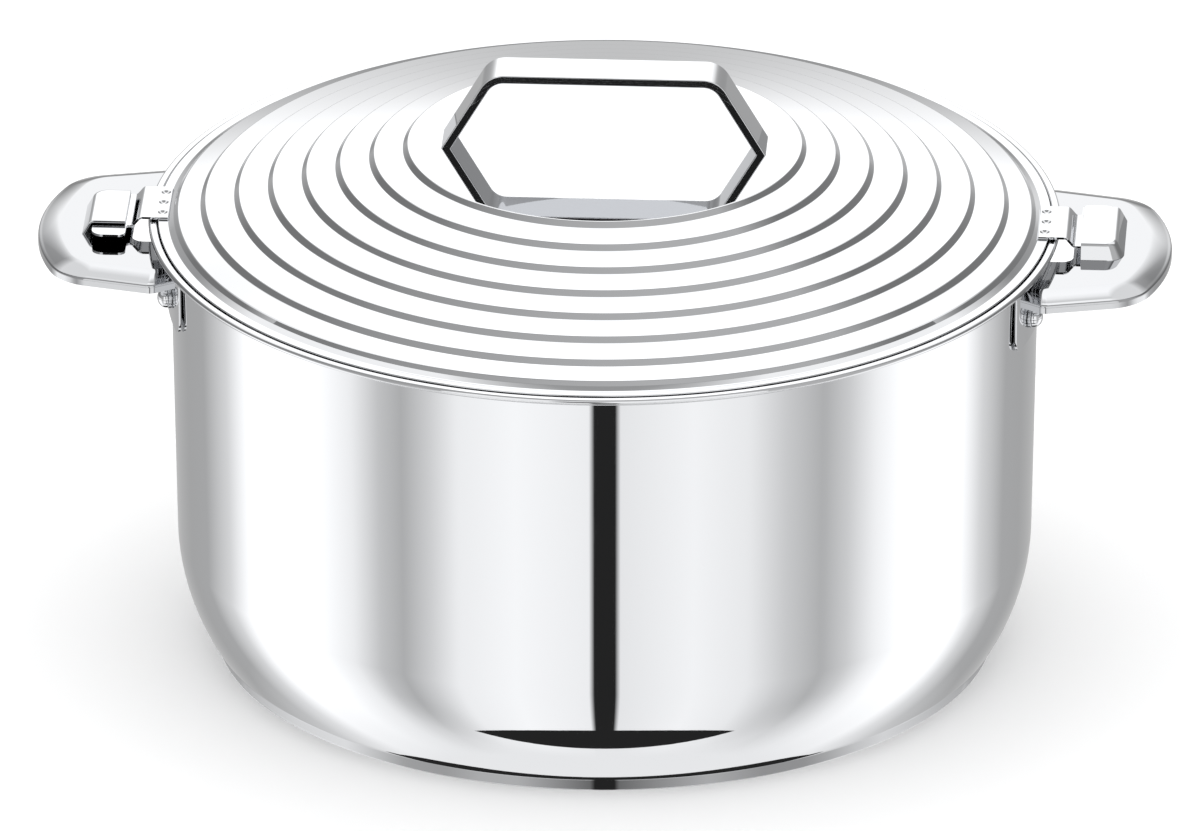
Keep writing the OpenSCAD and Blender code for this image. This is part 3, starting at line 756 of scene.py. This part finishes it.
def floorPiece():
    half, z = studio["floorMetres"] / 2 / mm, studio["floorZ"]
    corners = [(-half, -half, z), (half, -half, z), (half, half, z), (-half, half, z)]
    floor = newPiece("floor", corners, [[0, 1, 2, 3]])
    # matt white paper, laid flat
    material = newMaterial("paperSweep", Base_Color=linearColour(studio["floorColour"]), Roughness=0.9)[0]
    floor.data.materials.append(material)
    floor.visible_glossy = False  # the polished steel mirrors the studio round the table instead


steelReflects = 0.67  # the share of the light that polished steel sends back


def seenAs(grey):
    # light that polished steel shows as this screen grey
    return ((grey / 255 + 0.055) / 1.055) ** 2.4 / steelReflects


# the studio that the steel mirrors, in bands: degrees to the screen grey seen in the steel
bands = {
    # the pot's wall: degrees round from the camera, left below zero
    "wall": [(-180, 165), (-150, 152), (-136, 158), (-122, 205), (-110, 262), (-88, 262), (-72, 232),
             (-63, 188), (-56, 168), (-48, 200), (-40, 232), (-24, 242), (-3.35, 232), (-3.2, 34),
             (3.85, 34), (4, 224), (24, 238), (39, 228), (50, 196), (61, 170), (69, 198), (78, 235),
             (88, 256), (110, 262), (122, 205), (136, 158), (150, 152), (180, 165)],
    # the lid's risers: the same way round
    "risers": [(-180, 115), (-166, 112), (-158, 158), (-150, 142), (-138, 112), (-118, 112), (-95, 122),
               (-84, 138), (-60, 152), (-25, 163), (0, 166), (25, 170), (78, 168), (88, 145), (100, 112),
               (118, 110), (138, 116), (150, 132), (156, 148), (162, 190), (180, 195)],
    # the foot ring, whose face leans back a little
    "foot": [(-180, 160), (-138, 158), (-120, 186), (-102, 205), (-81, 215), (-70, 188), (-60, 155),
             (-47, 150), (-36, 168), (-25, 168), (-13, 134), (-3.5, 98), (-3.3, 34), (3.9, 34), (4.1, 102),
             (16, 137), (30, 166), (47, 140), (60, 142), (67, 160), (78, 190), (89, 206), (118, 174),
             (138, 158), (180, 160)],
    # behind the pot: degrees above the horizon
    "behind": [(-90, 125), (-8, 118), (0, 140), (6, 186), (11, 222), (17, 262), (66, 276), (74, 145),
               (90, 145)],
    # high up on both sides of that: degrees above the horizon, and where it begins
    "overhead": [(32, 215), (42, 235), (66, 235), (74, 145), (90, 145)],
    "overheadRound": 110, "overheadFrom": (30, 42),
    # where one set of bands gives way to another, in degrees above the horizon or round
    "wallTop": (-14, -4), "footHeight": (-21.5, -14.5), "behindFrom": (158, 167),
    # the plain screen round the camera
    "front": {"round": 40, "height": 50, "grey": 232},
    # the table before the pot, the dark round tray on it and the dark under the pot, as
    # distances along the table over the height that they are seen from
    "tableFrom": (0.36, 0.72), "tableHeight": (-68, -38), "table": 226,
    "tray": {"middle": 0.26, "radius": 0.597, "near": 0.52},
    "underPot": {"middle": -0.3, "halfWidth": 0.45, "halfDepth": 0.36},
    "stripeHalf": 4.2,  # degrees: the wall's dark stripe lies within these, and ends at the tray
    # dark flag beside the camera, which the edges of the lid's handle show by way of the lid
    "flag": {"round": (-14, -10, -2, 2), "height": (-3, 3, 26, 32)},
    "dark": 34,
    # the plain white light that everything but a mirror image gets
    "softStrength": 1.35,
}


def studioWorld():
    world = bpy.data.worlds.new("studio")
    bpy.context.scene.world = world
    world.use_nodes = True
    tree = world.node_tree
    tree.nodes.clear()
    where = addNode(tree, "ShaderNodeTexCoord")
    facing = addNode(tree, "ShaderNodeMapping", {"vector_type": "POINT",
                                                 "Rotation": (0, 0, -math.radians(camera["azimuth"]))},
                     {"Vector": where.outputs["Generated"]})
    axes = addNode(tree, "ShaderNodeSeparateXYZ", {}, {"Vector": facing.outputs["Vector"]}).outputs

    def maths(operation, *values):
        node = addNode(tree, "ShaderNodeMath", {"operation": operation})
        for socket, value in zip(node.inputs, values):
            if isinstance(value, (int, float)):
                socket.default_value = value
            else:
                tree.links.new(value, socket)
        return node.outputs[0]

    def band(angle, stops, lowest, highest):
        # a colour ramp over an angle in degrees, with greys as seen in the steel
        place = maths("DIVIDE", maths("SUBTRACT", angle, lowest), highest - lowest)
        ramp = addNode(tree, "ShaderNodeValToRGB", {}, {"Fac": place})
        elements = ramp.color_ramp.elements
        while len(elements) < len(stops):
            elements.new(0.5)
        for element, (degrees, tone) in zip(elements, stops):
            element.position = (degrees - lowest) / (highest - lowest)
            element.color = (tone, tone, tone, 1)
        return ramp.outputs["Color"]

    def greyBand(angle, name, lowest, highest):
        return band(angle, [(degrees, seenAs(grey)) for degrees, grey in bands[name]], lowest, highest)

    def mix(factor, a, b):
        node = addNode(tree, "ShaderNodeMix", {"data_type": "RGBA"}, {0: factor})
        for index, value in ((6, a), (7, b)):
            if isinstance(value, (int, float)):
                node.inputs[index].default_value = (value, value, value, 1)
            else:
                tree.links.new(value, node.inputs[index])
        return node.outputs[2]

    def within(value, lowest, highest):
        return maths("MULTIPLY", maths("GREATER_THAN", value, lowest), maths("LESS_THAN", value, highest))

    def softWithin(angle, limits):
        # rises from 0 to 1 between the first two limits and falls between the last two
        return band(angle, list(zip(limits, (0, 1, 1, 0))), -180, 180)

    # degrees round from the camera (left below zero), and above the horizon
    turn = maths("DEGREES", maths("ARCTAN2", axes["X"], maths("MULTIPLY", axes["Y"], -1)))
    away = maths("ABSOLUTE", turn)
    height = maths("DEGREES", maths("ARCSINE", axes["Z"]))
    # where a ray that goes down meets the table: sideways and towards the camera
    drop = maths("MAXIMUM", maths("MULTIPLY", axes["Z"], -1), 0.001)
    sideways = maths("DIVIDE", axes["X"], drop)
    forwards = maths("DIVIDE", maths("MULTIPLY", axes["Y"], -1), drop)

    def oval(middle, halfWidth, halfDepth):
        across = maths("POWER", maths("DIVIDE", sideways, halfWidth), 2)
        along = maths("POWER", maths("DIVIDE", maths("SUBTRACT", forwards, middle), halfDepth), 2)
        return maths("LESS_THAN", maths("ADD", across, along), 1)

    low, high = bands["wallTop"]
    isLow = band(height, [(low, 1), (high, 0)], -90, 90)
    isBehind = band(away, [(bands["behindFrom"][0], 0), (bands["behindFrom"][1], 1)], 0, 180)
    front = bands["front"]
    isFront = maths("MULTIPLY", maths("LESS_THAN", away, front["round"]),
                    maths("LESS_THAN", height, front["height"]))
    seen = mix(isFront, greyBand(turn, "risers", -180, 180), seenAs(front["grey"]))
    overFrom, overFull = bands["overheadFrom"]
    isOver = maths("MULTIPLY", maths("GREATER_THAN", away, bands["overheadRound"]),
                   band(height, [(overFrom, 0), (overFull, 1)], -90, 90))
    seen = mix(isOver, seen, greyBand(height, "overhead", -90, 90))
    seen = mix(isBehind, seen, greyBand(height, "behind", -90, 90))
    seen = mix(isLow, seen, greyBand(turn, "wall", -180, 180))
    near, far = bands["tableFrom"]
    lowest, highest = bands["tableHeight"]
    isTable = maths("MULTIPLY", band(forwards, [(near, 1), (far, 0)], 0, 1),
                    band(height, [(lowest, 1), (highest, 0)], -90, 90))
    tray, underPot, dark = bands["tray"], bands["underPot"], seenAs(bands["dark"])
    isPastStripe = maths("MULTIPLY", within(turn, -bands["stripeHalf"], bands["stripeHalf"]),
                         maths("LESS_THAN", forwards, tray["near"]))
    seen = mix(maths("MAXIMUM", isTable, isPastStripe), seen, seenAs(bands["table"]))
    isTray = maths("MULTIPLY", oval(tray["middle"], tray["radius"], tray["radius"]),
                   maths("GREATER_THAN", forwards, tray["near"]))
    seen = mix(isTray, seen, dark)
    seen = mix(oval(underPot["middle"], underPot["halfWidth"], underPot["halfDepth"]), seen, dark)
    seen = mix(within(height, *bands["footHeight"]), seen, greyBand(turn, "foot", -180, 180))
    flag = bands["flag"]
    isFlag = maths("MULTIPLY", softWithin(turn, flag["round"]), softWithin(height, flag["height"]))
    seen = mix(isFlag, seen, dark)
    # mirror images show the bands, and all other light is plain white
    path = addNode(tree, "ShaderNodeLightPath")
    mirrored = addNode(tree, "ShaderNodeBackground", {"Strength": 1}, {"Color": seen})
    soft = addNode(tree, "ShaderNodeBackground", {"Color": (1, 1, 1, 1), "Strength": bands["softStrength"]})
    both = addNode(tree, "ShaderNodeMixShader", {}, {0: path.outputs["Is Glossy Ray"], 1: soft.outputs[0],
                                                     2: mirrored.outputs[0]})
    addNode(tree, "ShaderNodeOutputWorld", {}, {"Surface": both.outputs[0]})


camera = {
    "azimuth": 3.2, "elevation": 24.05, "distance": 8, "sensorMm": 36,
    "pixelsPerMm": 2.985, "photoSize": (1200, 831),
    "axisPixel": (604.7, 240.6),  # where the photo shows the pot's axis at gaugeZ
    "gaugeZ": 142.2,
}


def placeCamera():
    a, e = math.radians(camera["azimuth"]), math.radians(camera["elevation"])
    back = Vector((math.sin(a) * math.cos(e), -math.cos(a) * math.cos(e), math.sin(e)))
    right = Vector((math.cos(a), math.sin(a), 0))
    up = back.cross(right)
    offX = (camera["axisPixel"][0] - camera["photoSize"][0] / 2) / camera["pixelsPerMm"] * mm
    offY = (camera["photoSize"][1] / 2 - camera["axisPixel"][1]) / camera["pixelsPerMm"] * mm
    aim = Vector((0, 0, camera["gaugeZ"] * mm)) - right * offX - up * offY
    data = bpy.data.cameras.new("camera")
    data.sensor_width = camera["sensorMm"]
    data.lens = camera["sensorMm"] * camera["pixelsPerMm"] / mm * camera["distance"] / camera["photoSize"][0]
    data.clip_end = 100
    view = bpy.data.objects.new("camera", data)
    view.location = aim + back * camera["distance"]
    view.rotation_mode = "QUATERNION"
    view.rotation_quaternion = (-back).to_track_quat("-Z", "Y")
    bpy.context.scene.collection.objects.link(view)
    bpy.context.scene.camera = view


floorPiece()
studioWorld()
placeCamera()
bpy.context.scene.view_settings.view_transform = "Standard"
print("stage set")
